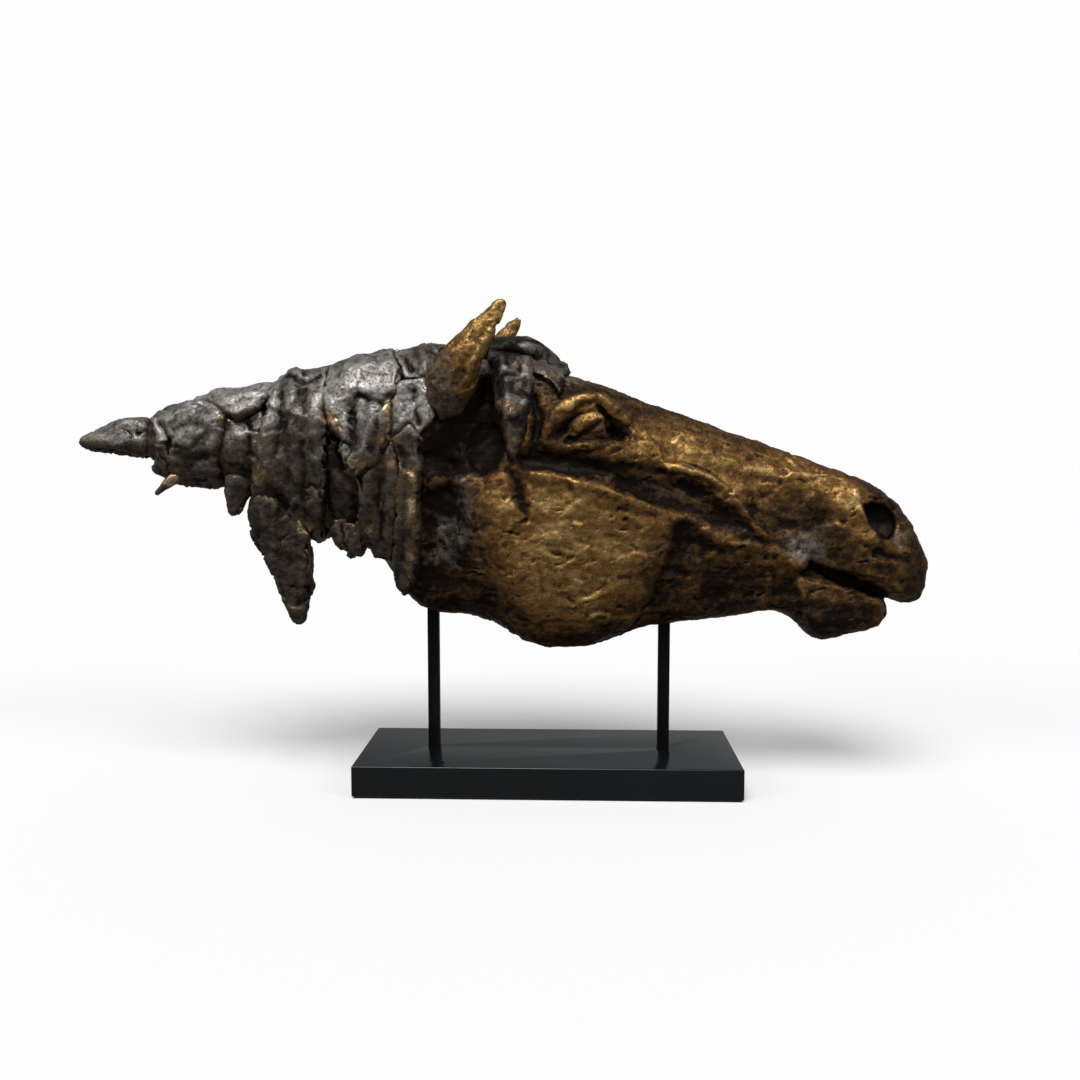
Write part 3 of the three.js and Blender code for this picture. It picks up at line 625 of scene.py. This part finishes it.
# Size of the skin's faces in mm, for each kind of piece.
FACE_GRAIN = 1.8
NECK_GRAIN = 3.0
LOCK_GRAIN = 1.6
FORELOCK_GRAIN = 1.5
EAR_GRAIN = 1.4

# Each piece's own surface noise starts from a seed of its own.
EAR_SEED = 300
MANE_SEED = 100
FORELOCK_SEED = 600
SEEDS_PER_PIECE = 20

FOLD_STRETCH = 0.55  # how much longer folds run along the hair than across it
KNIFE_TILT = np.array([[0.8, 0, 0.6], [0, 1, 0], [-0.6, 0, 0.8]])  # turns the knife's cuts aslant


def swirled(points, size, reach, seed):
    """Points dragged about, so that noise read at them looks thumbed instead of even."""
    return points + reach * np.stack([noise(points, size, seed + k, 2) for k in range(3)], 1)


def texture_face(clay):
    """Thumbed pads, knife facets drawn along the head, and short gouges."""
    p = clay.at
    clay.push(1.8 * pads(swirled(p, 40, 8, 2), (34, 26, 20), 5) + 1.2 * noise(p, 30, 8))
    clay.co = clay.blurred(clay.co, 2)
    clay.refresh()
    p = swirled(clay.at, 15, 7, 61)
    facets = 0.6 * pads(p, (14, 11, 10), 21) + 0.55 * noise(p, (11, 8, 7), 23, 2)
    gouges = -1.7 * ramp(noise(p, (13, 7, 5.5), 41, 2), 0.45, 0.62)
    pressed = ramp(noise(clay.at, 45, 71, 2), -0.5, 0.5)  # rough patches among smoother ones
    clay.push(facets + gouges + (0.35 + 0.5 * pressed) * noise(p, 5.0, 52, 2))


def make_head():
    clay = Clay("head_skin", "head_casting", FACE_GRAIN, 9)
    strokes = sculpt(wandered(clay), FACE_FIELDS, FACE_RIDGES, FACE_STEPS)
    clay.push(strokes * clay.facing() + 0.6)
    clay.co = clay.blurred(clay.co, 1)
    clay.refresh()
    texture_face(clay)
    sideways = clay.facing(0.05, 0.4)
    # poll: painted sheen on the top of the head, between the ears, in place of gold
    poll = ramp(clay.at[:, 2], 268, 290) * (1 - ramp(clay.at[:, 0], 20, 60))  # grey between the ears
    # gold patina, then painted sheen, then painted shade with the black painted shadow of mouth and nostril
    patina_and_painted_light(
        clay,
        marks(clay, GOLDEN) * (0.35 + 0.65 * sideways) * (1 - poll),
        marks(clay, PAINTED_SHEEN_MARKS) * sideways * ramp(noise(clay.at, 26, 93), -0.5, 0.3) + 0.7 * poll,
        marks(clay, PAINTED_SHADE) * sideways + marks(clay, PAINTED_BLACK_SHADOW),
    )


def make_neck():
    clay = Clay("neck_skin", "neck_casting", NECK_GRAIN, 4)
    strokes = sculpt(wandered(clay), MANE_FIELDS["neck"], [], [])
    clay.push(strokes * clay.facing() + 2.2 * pads(clay.at, 24, 3) + 1.5 * noise(clay.at, 14, 4) - 1.0)
    patina_and_painted_light(clay, rub=0.5)


# The way each piece of mane was drawn. The rest hang down.
DRAG = {"rear": (1, 0, 0.25), "tail": (1, 0, 0.2), "flap": (1, 0, 0.3), "crown": (1, 0, 0)}


def torn(clay, key, seed):
    """Works a plate or lock of mane: its own strokes, folds drawn along the hair, ragged edges, cracks."""
    fields, ridges, steps = (strokes.get(key, []) for strokes in (MANE_FIELDS, MANE_RIDGES, MANE_STEPS))
    clay.push(sculpt(wandered(clay), fields, ridges, steps) * clay.facing(0.05, 0.35))
    if key == "tail":
        clay.co[:, 0] += 7 * MM * ramp(clay.at[:, 0], -430, -404)  # reaches in under the next plate
        clay.refresh()
    if key == "spur":
        clay.push(1.6 + 0.8 * noise(clay.at, 12, seed, 2))  # too slight to be worked further
        return
    # what faces sideways or up is smooth, and what turns away at a seam or an edge is its rim
    smooth = np.maximum(clay.facing(0.45, 0.8), ramp(clay.normal[:, 2], 0.3, 0.6))
    rim = ramp(clay.blurred(1 - smooth, 16), 0.12, 0.6)
    p = clay.at
    drag = np.asarray(DRAG.get(key, (0.25, 0, 1)), float)
    drag /= np.linalg.norm(drag)
    flow = p - (p @ drag)[:, None] * drag * FOLD_STRETCH
    flow = swirled(flow, 34, 14, seed + 9)
    folds = noise(flow, 38, seed, 2) * 2.6 + pads(flow, 34, seed + 1) * 2.4
    ragged = noise(p, 16, seed + 2, 2) * 3.2 + pads(p, 10, seed + 3) * 1.3
    clay.push(folds * (1 - 0.4 * rim) + rim * ragged + 0.8)
    clay.co = clay.blurred(clay.co, 2)
    clay.refresh()
    cuts = pads(swirled(clay.at, 26, 6, seed + 12) @ KNIFE_TILT.T, (16, 15, 27), seed + 13)
    clay.push(0.8 * cuts)  # flats left by the knife
    p = clay.at
    # rims and a few patches are torn; the rest is only smeared
    rough = np.clip(rim + ramp(noise(p, 40, seed + 10, 2), 0.1, 0.6), 0, 1)
    if key == "forelock":
        rough *= 0.4  # its locks are thin and neat
    from_crack = np.abs(noise(swirled(p, 14, 6, seed + 11), 20, seed + 4, 2))
    cracks = -3.2 * (1 - ramp(from_crack, 0.0, 0.1)) * rough
    smears = 0.6 * pads(flow, 17, seed + 5) + 0.3 * noise(flow, 8, seed + 6, 2)
    crumbs = rough * (0.7 * pads(p, 6, seed + 7) + 0.45 * noise(p, 4.2, seed + 8, 2))
    clay.push(smears * (1 - 0.5 * rough) + cracks + crumbs)


def sheen(clay):
    """Painted sheen: a pale reflection of the overhead light painted on what faces up, thin in places."""
    up = ramp(clay.blurred(clay.normal[:, 2], 4), -0.4, 0.35)
    high = ramp(clay.at[:, 2], 150, 260)  # less of it lies on the lower mane
    sheen_patches = 0.35 + 0.5 * ramp(clay.proud(18), -0.5, 0.9) + 1.0 * noise(clay.at, 52, 77, 2)
    return up * (0.15 + 0.85 * high) * np.clip(sheen_patches, 0, 1)


def make_mane():
    nodes = sorted(n for n in frame["nodes"] if n.startswith("mane_"))
    for k, node in enumerate(nodes):
        clay = Clay(node + "_skin", node, LOCK_GRAIN, 3)
        words = node.split("_")
        key = words[1] if words[1] not in ("right", "left") else words[2]
        torn(clay, key, MANE_SEED + SEEDS_PER_PIECE * k)
        patchy = ramp(noise(clay.at, 14, 88, 2), -0.5, 0.2)
        gold = 1.5 * marks(clay, RUBBED) * clay.facing(0.0, 0.3) * patchy
        patina_and_painted_light(clay, gold, sheen(clay), rub=0.55)


# Creases and rims of the near side of an ear.
EAR_RIDGES = [
    ([(-50, 340), (-60, 318), (-72, 292), (-84, 268)], 1.0, 4),
    ([(-60, 330), (-72, 306), (-84, 288)], -1.0, 3.5),
    ([(-84, 296), (-80, 284), (-88, 274)], -1.4, 2.5),
]


def make_ears():
    for k, side in enumerate(("right", "left")):
        clay = Clay(f"ear_{side}_skin", f"ear_{side}", EAR_GRAIN, 4)
        p = clay.at
        clay.push(sculpt(wandered(clay), [], EAR_RIDGES, []) * clay.facing())
        seed = EAR_SEED + k
        dents = 1.4 * pads(p, (18, 14, 22), seed) + 0.7 * pads(p, 9, seed + 10)
        clay.push(dents + 0.6 * noise(p, 5, seed + 20))
        gold = ramp(p[:, 0] + 0.5 * p[:, 2], 30, 75)
        # the ear's unrubbed part gets a painted sheen
        patina_and_painted_light(clay, gold * 0.95, (1 - gold) * 0.3)


def make_forelock():
    for k, node in enumerate(("forelock_crown", "forelock_right", "forelock_left")):
        clay = Clay(node + "_skin", node, FORELOCK_GRAIN, 2)
        key = "crown" if node == "forelock_crown" else "forelock"
        torn(clay, key, FORELOCK_SEED + SEEDS_PER_PIECE * k)
        patchy = ramp(noise(clay.at, 12, 89, 2), -0.3, 0.4)
        shade = 0.55 * ramp(noise(clay.at, 18, 90, 2), -0.15, 0.25)
        patina_and_painted_light(clay, 1.6 * marks(clay, RUBBED) * patchy, 0.35 * sheen(clay), shade, rub=0.8)


# ---------------------------------------------------------------- stand


def bevelled(node, width, name):
    """A CAD node's shape again with rounded edges, so many mm wide."""
    piece = bpy.data.objects.new(name, frame["nodes"][node].data.copy())
    bpy.context.scene.collection.objects.link(piece)
    bm = bmesh.new()
    bm.from_mesh(piece.data)
    bmesh.ops.remove_doubles(bm, verts=bm.verts, dist=1e-6)
    bmesh.ops.dissolve_limit(bm, angle_limit=math.radians(2), verts=bm.verts, edges=bm.edges)
    bm.to_mesh(piece.data)
    bm.free()
    bevel = piece.modifiers.new("edges", "BEVEL")
    bevel.width = width * MM
    bevel.segments = 3
    bevel.limit_method = "ANGLE"
    bevel.angle_limit = math.radians(35)
    bevel.harden_normals = True
    for polygon in piece.data.polygons:
        polygon.use_smooth = True
    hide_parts(node)
    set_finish(piece, slot_of(node))
    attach(piece, "stand")


PLINTH_BEVEL = 0.8
POST_BEVEL = 0.7


def make_stand():
    bevelled("plinth", PLINTH_BEVEL, "plinth_block")
    for end in ("front", "rear"):
        bevelled(f"post_{end}", POST_BEVEL, f"post_{end}_bar")


# ---------------------------------------------------------------- materials


class Nodes:
    """A short way to write a material's node tree."""

    def __init__(self, name):
        self.material = bpy.data.materials.new(name)
        self.material.use_nodes = True
        self.tree = self.material.node_tree
        self.shader = self.tree.nodes["Principled BSDF"]

    def add(self, kind, inputs=None, **settings):
        node = self.tree.nodes.new("ShaderNode" + kind)
        for key, value in settings.items():
            setattr(node, key, value)
        for key, value in (inputs or {}).items():
            self.put(node.inputs[key], value)
        return node

    def put(self, socket, value):
        if isinstance(value, bpy.types.NodeSocket):
            self.tree.links.new(value, socket)
        elif isinstance(value, bpy.types.Node):
            self.tree.links.new(value.outputs[0], socket)
        else:
            socket.default_value = value

    def set(self, **sockets):
        for key, value in sockets.items():
            self.put(self.shader.inputs[key.replace("_", " ")], value)

    def place(self):
        return self.add("TexCoord").outputs["Object"]

    def noise(self, scale, detail=4.0, roughness=0.55, vector=None):
        inputs = {"Scale": scale, "Detail": detail, "Roughness": roughness, "Vector": vector or self.place()}
        return self.add("TexNoise", inputs).outputs["Fac"]

    def stretched(self, scale):
        return self.add("Mapping", {"Vector": self.place(), "Scale": scale}).outputs[0]

    def math(self, operation, a, b=0.0, clamp=False):
        return self.add("Math", {0: a, 1: b}, operation=operation, use_clamp=clamp).outputs[0]

    def spread(self, value, low, high, to_low=0.0, to_high=1.0):
        inputs = {"Value": value, "From Min": low, "From Max": high, "To Min": to_low, "To Max": to_high}
        return self.add("MapRange", inputs, clamp=True).outputs[0]

    def mix(self, share, a, b):
        node = self.add("Mix", data_type="RGBA")
        self.put(node.inputs["Factor"], share)
        self.put(node.inputs["A"], a)
        self.put(node.inputs["B"], b)
        return node.outputs["Result"]

    def attribute(self, name):
        return self.add("Attribute", attribute_name=name).outputs["Fac"]

    def bump(self, height, strength, distance, normal=None):
        inputs = {"Height": height, "Strength": strength, "Distance": distance}
        if normal is not None:
            inputs["Normal"] = normal
        return self.add("Bump", inputs).outputs[0]


def bronze(name, dark, brown, amber, gold, sheen_tint, gloss):
    """Waxed patina: near-black in the hollows, brown between, rubbed to gold on what stands proud; painted
    shade darkens it further and a painted sheen tints it paler.
    """
    n = Nodes(name)
    edges, hollow = n.attribute("edges"), n.attribute("hollow")
    golden, grey = n.attribute("gold"), n.attribute("grey")
    cloud = n.noise(24, 4)
    streak = n.noise(60, 5, 0.6, n.stretched((0.5, 1, 1.7)))
    mottle = n.noise(130, 4, 0.65)
    fleck = n.noise(380, 2)
    # how far each point is rubbed through to metal
    rubbed = n.math("ADD", n.math("MULTIPLY", golden, 0.72), n.math("MULTIPLY", edges, 0.42))
    rubbed = n.math("ADD", rubbed, n.spread(streak, 0.32, 0.68, -0.22, 0.22))
    rubbed = n.math("ADD", rubbed, n.spread(mottle, 0.32, 0.68, -0.27, 0.21))
    rubbed = n.math("ADD", rubbed, n.spread(cloud, 0.3, 0.7, -0.28, 0.2))
    # dark patina in the hollows, and the painted shade that the hollow attribute also carries
    rubbed = n.math("SUBTRACT", rubbed, n.math("MULTIPLY", hollow, 0.85))
    metal = n.spread(rubbed, 0.25, 0.9)
    colour = n.mix(n.spread(rubbed, -0.35, 0.15), (*dark, 1), (*brown, 1))
    colour = n.mix(n.spread(rubbed, 0.1, 0.55), colour, (*amber, 1))
    colour = n.mix(n.spread(rubbed, 0.5, 1.0), colour, (*gold, 1))
    # painted sheen: the paler sheen tint laid where the sheen attribute marks it, thinner in hollows and on
    # rubbed metal
    sheen_share = n.math("MULTIPLY", grey, n.spread(mottle, 0.34, 0.58, 0.25, 1.0), clamp=True)
    sheen_share = n.math("SUBTRACT", sheen_share, n.math("MULTIPLY", hollow, 0.5), clamp=True)
    sheen_share = n.math("SUBTRACT", sheen_share, n.math("MULTIPLY", metal, 1.3), clamp=True)
    colour = n.mix(sheen_share, colour, (*sheen_tint, 1))
    pits = n.spread(fleck, 0.36, 0.43, 1.0, 0.0)
    colour = n.mix(n.math("MULTIPLY", pits, 0.5), colour, (*dark, 1))
    grain = n.noise(240, 5, 0.6, n.stretched((0.6, 1, 1.3)))
    coarse = n.bump(mottle, 0.35, 0.0014)
    normal = n.bump(n.math("ADD", grain, n.math("MULTIPLY", pits, -0.6)), 0.65, 0.0007, coarse)
    n.set(
        Base_Color=colour,
        Metallic=n.spread(rubbed, 0.1, 0.7, 0.4, 0.95),
        Roughness=n.spread(streak, 0.3, 0.7, gloss - 0.05, gloss + 0.1),
        Specular_IOR_Level=0.1,
        Normal=normal,
    )
    return n.material


def black_lacquer():
    n = Nodes("black_lacquer")
    dust = n.noise(900, 2)
    cloud = n.noise(14, 3)
    dark, light = (0.0018, 0.0022, 0.0027, 1), (0.0036, 0.0044, 0.0052, 1)
    n.set(
        Base_Color=n.mix(n.spread(cloud, 0.3, 0.7), dark, light),
        Roughness=n.spread(cloud, 0.3, 0.7, 0.2, 0.27),
        Specular_IOR_Level=0.25,
        Normal=n.bump(dust, 0.05, 0.0002),
    )
    n.set(Coat_Weight=0.6, Coat_Roughness=0.12, Coat_Tint=(0.9, 0.96, 1.0, 1))
    return n.material


def black_paint():
    n = Nodes("black_steel")
    grain = n.noise(1200, 3)
    cloud = n.noise(30, 3)
    dark, light = (0.0015, 0.0015, 0.0016, 1), (0.003, 0.003, 0.0032, 1)
    n.set(
        Base_Color=n.mix(n.spread(cloud, 0.3, 0.7), dark, light),
        Roughness=n.spread(cloud, 0.3, 0.7, 0.38, 0.5),
        Specular_IOR_Level=0.14,
        Normal=n.bump(grain, 0.12, 0.0002),
    )
    return n.material


def zinc():
    n = Nodes("zinc_plate")
    spangle = n.noise(700, 4)
    n.set(
        Base_Color=n.mix(n.spread(spangle, 0.3, 0.7), (0.42, 0.43, 0.46, 1), (0.6, 0.61, 0.63, 1)),
        Roughness=n.spread(spangle, 0.3, 0.7, 0.28, 0.42),
        Metallic=1.0,
        Normal=n.bump(spangle, 0.1, 0.0002),
    )
    return n.material


def felt():
    n = Nodes("black_felt")
    fibre = n.noise(1800, 6, 0.7)
    n.set(
        Base_Color=n.mix(n.spread(fibre, 0.3, 0.7), (0.006, 0.006, 0.006, 1), (0.03, 0.03, 0.03, 1)),
        Roughness=1.0,
        Normal=n.bump(fibre, 0.8, 0.0006),
    )
    return n.material


def paint_everything():
    """Gives every visible piece, sculpted or CAD node, the material of its slot."""
    # the fifth colour of each bronze is the tint of its painted sheen
    face = bronze("bronze_face", (0.010, 0.0065, 0.0042), (0.085, 0.043, 0.017), (0.245, 0.130, 0.038),
                  (0.53, 0.345, 0.135), (0.28, 0.25, 0.21), 0.42)
    mane = bronze("bronze_mane", (0.013, 0.0108, 0.009), (0.075, 0.055, 0.040), (0.150, 0.100, 0.055),
                  (0.66, 0.50, 0.28), (0.42, 0.40, 0.37), 0.33)
    by_slot = {
        "bronze_gold": face,
        "bronze_dark": mane,
        "black_lacquer": black_lacquer(),
        "black_steel": black_paint(),
        "zinc_fixings": zinc(),
        "felt": felt(),
    }
    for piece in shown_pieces():
        if piece.type == "MESH":
            name = piece.get("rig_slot") or slot_of(piece["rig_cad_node"])
            piece.data.materials.clear()
            piece.data.materials.append(by_slot[name])


# ---------------------------------------------------------------- stage, light and camera


SQUARE = ((-1, -1), (1, -1), (1, 1), (-1, 1))
FLOOR_REACH = 40.0  # metres each way
FLOOR_WHITE = (0.93, 0.93, 0.93, 1)
FLOOR_GLOW = 0.12  # lifts the floor to the backdrop's white
AMBIENT = 0.2
BACKDROP_WHITE = 0.985  # as bright as the lit floor, so that no horizon shows


def make_stage():
    bm = bmesh.new()
    corners = [bm.verts.new((x * FLOOR_REACH, y * FLOOR_REACH, 0)) for x, y in SQUARE]
    bm.faces.new(corners)
    mesh = bpy.data.meshes.new("floor")
    bm.to_mesh(mesh)
    bm.free()
    floor = bpy.data.objects.new("floor", mesh)
    bpy.context.scene.collection.objects.link(floor)
    n = Nodes("floor")
    n.set(Base_Color=FLOOR_WHITE, Roughness=0.9, Specular_IOR_Level=0.0)
    n.set(Emission_Color=(1, 1, 1, 1), Emission_Strength=FLOOR_GLOW)
    mesh.materials.append(n.material)
    floor.visible_diffuse = False  # its light doesn't reach the statue, as over a dark studio floor
    floor.visible_glossy = False
    floor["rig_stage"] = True


def sun(name, azimuth, elevation, spread, strength, colour=(1, 1, 1)):
    """A distant softbox, in degrees: azimuth 0 shines from the camera's side, 90 from the muzzle's."""
    data = bpy.data.lights.new(name, "SUN")
    data.angle = math.radians(spread)
    data.energy = strength
    data.color = colour
    lamp = bpy.data.objects.new(name, data)
    bpy.context.scene.collection.objects.link(lamp)
    a, e = math.radians(azimuth), math.radians(elevation)
    source = Vector((math.sin(a) * math.cos(e), -math.cos(a) * math.cos(e), math.sin(e)))
    lamp.rotation_euler = source.to_track_quat("Z", "Y").to_euler()


def make_lights():
    sun("overhead", -10, 58, 36, 2.3)
    sun("front_left", -55, 26, 24, 0.4, (1, 0.98, 0.95))
    sun("front_right", 55, 32, 20, 0.35, (0.97, 0.98, 1))
    world = bpy.data.worlds.new("studio")
    bpy.context.scene.world = world
    world.use_nodes = True
    tree = world.node_tree
    background = tree.nodes["Background"]
    background.inputs["Color"].default_value = (1, 1, 1, 1)
    background.inputs["Strength"].default_value = AMBIENT
    sheet = tree.nodes.new("ShaderNodeBackground")
    sheet.inputs["Color"].default_value = (1, 1, 1, 1)
    sheet.inputs["Strength"].default_value = BACKDROP_WHITE
    path = tree.nodes.new("ShaderNodeLightPath")
    either = tree.nodes.new("ShaderNodeMixShader")
    tree.links.new(path.outputs["Is Camera Ray"], either.inputs[0])
    tree.links.new(background.outputs[0], either.inputs[1])
    tree.links.new(sheet.outputs[0], either.inputs[2])
    tree.links.new(either.outputs[0], tree.nodes["World Output"].inputs["Surface"])
    bpy.context.scene.view_settings.view_transform = "Standard"


CAMERA_YAW = math.radians(1.78)  # turned towards the mane
CAMERA_PITCH = math.radians(4.8)  # looking down
CAMERA_AWAY = (0.0249, -1.0932)  # x and y in metres
CAMERA_ABOVE_PLINTH = 0.3181
SENSOR_WIDTH = 36  # mm
LENS = 34.2  # mm


def make_camera():
    data = bpy.data.cameras.new("camera")
    data.sensor_width = SENSOR_WIDTH
    data.lens = LENS
    camera = bpy.data.objects.new("camera", data)
    bpy.context.scene.collection.objects.link(camera)
    turn = Matrix.Rotation(CAMERA_YAW, 4, "Z") @ Matrix.Rotation(math.pi / 2 - CAMERA_PITCH, 4, "X")
    camera.matrix_world = Matrix.Translation((*CAMERA_AWAY, PLINTH_TOP + CAMERA_ABOVE_PLINTH)) @ turn
    bpy.context.scene.camera = camera


make_camera()
make_stage()
make_lights()
make_head()
make_neck()
make_mane()
make_ears()
make_forelock()
make_stand()
paint_everything()
